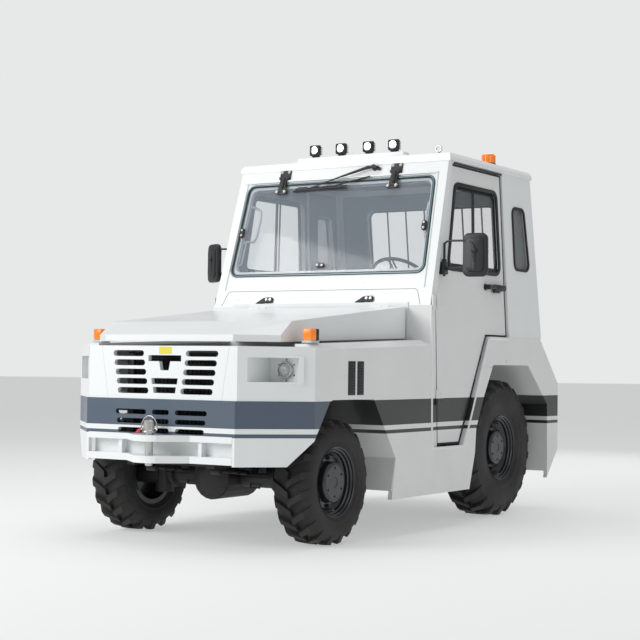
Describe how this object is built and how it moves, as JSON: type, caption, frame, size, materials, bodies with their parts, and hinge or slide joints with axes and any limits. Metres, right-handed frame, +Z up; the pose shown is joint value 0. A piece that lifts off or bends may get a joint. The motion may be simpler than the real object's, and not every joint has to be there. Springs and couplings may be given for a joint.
{
  "type": "airport baggage tug",
  "caption": "Cabbed four-wheel-drive airport tow tractor with steering front wheels, opening doors, lifting hood and tow hitches at both ends.",
  "frame": {"origin": "on the ground, midway along the machine and on its centreline", "axes": "+Z up, the front faces -Y, the machine's left side is +X"},
  "size_m": [2.3499, 4.12, 2.69],
  "materials": {
    "white_paint": "gloss",
    "black_paint": "satin",
    "tyre": "matt",
    "rim_paint": "satin",
    "steel": "brushed",
    "glass": "clear, lightly tinted",
    "amber": "translucent gloss",
    "lamp": "clear gloss",
    "seat_cloth": "woven",
    "dark_plastic": "grained"
  },
  "bodies": {
    "chassis": {"front_bumper": "white_paint", "nose_panel": "white_paint", "grille_panel": "white_paint", "front_hitch": "white_paint", "cab_front": "white_paint", "roof_panel": "white_paint", "cab_rear_wall": "white_paint", "tail_panel": "white_paint", "lamp_bar": "white_paint", "side_panel_left": "white_paint", "side_panel_right": "white_paint", "rear_fender_left": "white_paint", "rear_fender_right": "white_paint", "cab_side_left": "white_paint", "cab_side_right": "white_paint", "chassis_frame": "black_paint", "engine_block": "black_paint", "radiator": "black_paint", "front_axle": "black_paint", "rear_axle": "black_paint", "rear_hitch": "black_paint", "front_tow_pin": "steel", "windshield": "glass", "rear_window": "glass", "quarter_window_left": "glass", "quarter_window_right": "glass", "beacon": "amber", "turn_signal_left": "amber", "turn_signal_right": "amber", "headlamp_left": "lamp", "headlamp_right": "lamp", "seats": "seat_cloth", "cab_floor": "dark_plastic", "dashboard": "dark_plastic", "steering_wheel": "dark_plastic"},
    "knuckle_left": {"steering_knuckle_left": "black_paint"},
    "knuckle_right": {"steering_knuckle_right": "black_paint"},
    "front_wheel_left": {"wheel_front_left": "rim_paint", "tyre_front_left": "tyre"},
    "front_wheel_right": {"wheel_front_right": "rim_paint", "tyre_front_right": "tyre"},
    "rear_wheel_left": {"wheel_rear_left": "rim_paint", "tyre_rear_left": "tyre"},
    "rear_wheel_right": {"wheel_rear_right": "rim_paint", "tyre_rear_right": "tyre"},
    "left_door": {"door_left": "white_paint", "door_window_left": "glass", "mirror_left": "dark_plastic"},
    "right_door": {"door_right": "white_paint", "door_window_right": "glass", "mirror_right": "dark_plastic"},
    "hood_lid": {"hood": "white_paint"}
  },
  "joints": [
    {"name": "steer_left", "type": "hinge", "parent": "chassis", "child": "knuckle_left", "pos_m": [0.505, -1.19, 0.383], "axis": [0, 0, 1], "range_deg": [-30, 30]},
    {"name": "front_wheel_left_spin", "type": "hinge", "parent": "knuckle_left", "child": "front_wheel_left", "pos_m": [0.7, -1.19, 0.383], "axis": [1, 0, 0], "continuous": true},
    {"name": "rear_wheel_left_spin", "type": "hinge", "parent": "chassis", "child": "rear_wheel_left", "pos_m": [0.66, 1.15, 0.498], "axis": [1, 0, 0], "continuous": true},
    {"name": "left_door_hinge", "type": "hinge", "parent": "chassis", "child": "left_door", "pos_m": [0.906, -0.084, 1.2], "axis": [0, 0, -1], "range_deg": [0, 75]},
    {"name": "steer_right", "type": "hinge", "parent": "chassis", "child": "knuckle_right", "pos_m": [-0.505, -1.19, 0.383], "axis": [0, 0, 1], "range_deg": [-30, 30]},
    {"name": "front_wheel_right_spin", "type": "hinge", "parent": "knuckle_right", "child": "front_wheel_right", "pos_m": [-0.7, -1.19, 0.383], "axis": [1, 0, 0], "continuous": true},
    {"name": "rear_wheel_right_spin", "type": "hinge", "parent": "chassis", "child": "rear_wheel_right", "pos_m": [-0.66, 1.15, 0.498], "axis": [1, 0, 0], "continuous": true},
    {"name": "right_door_hinge", "type": "hinge", "parent": "chassis", "child": "right_door", "pos_m": [-0.906, -0.084, 1.2], "axis": [0, 0, 1], "range_deg": [0, 75]},
    {"name": "hood_hinge", "type": "hinge", "parent": "chassis", "child": "hood_lid", "pos_m": [0, -0.164, 1.488], "axis": [-1, 0, 0], "range_deg": [0, 60]}
  ],
  "couplings": [
    {"joint": "steer_right", "follows": "steer_left", "ratio": 1}
  ]
}
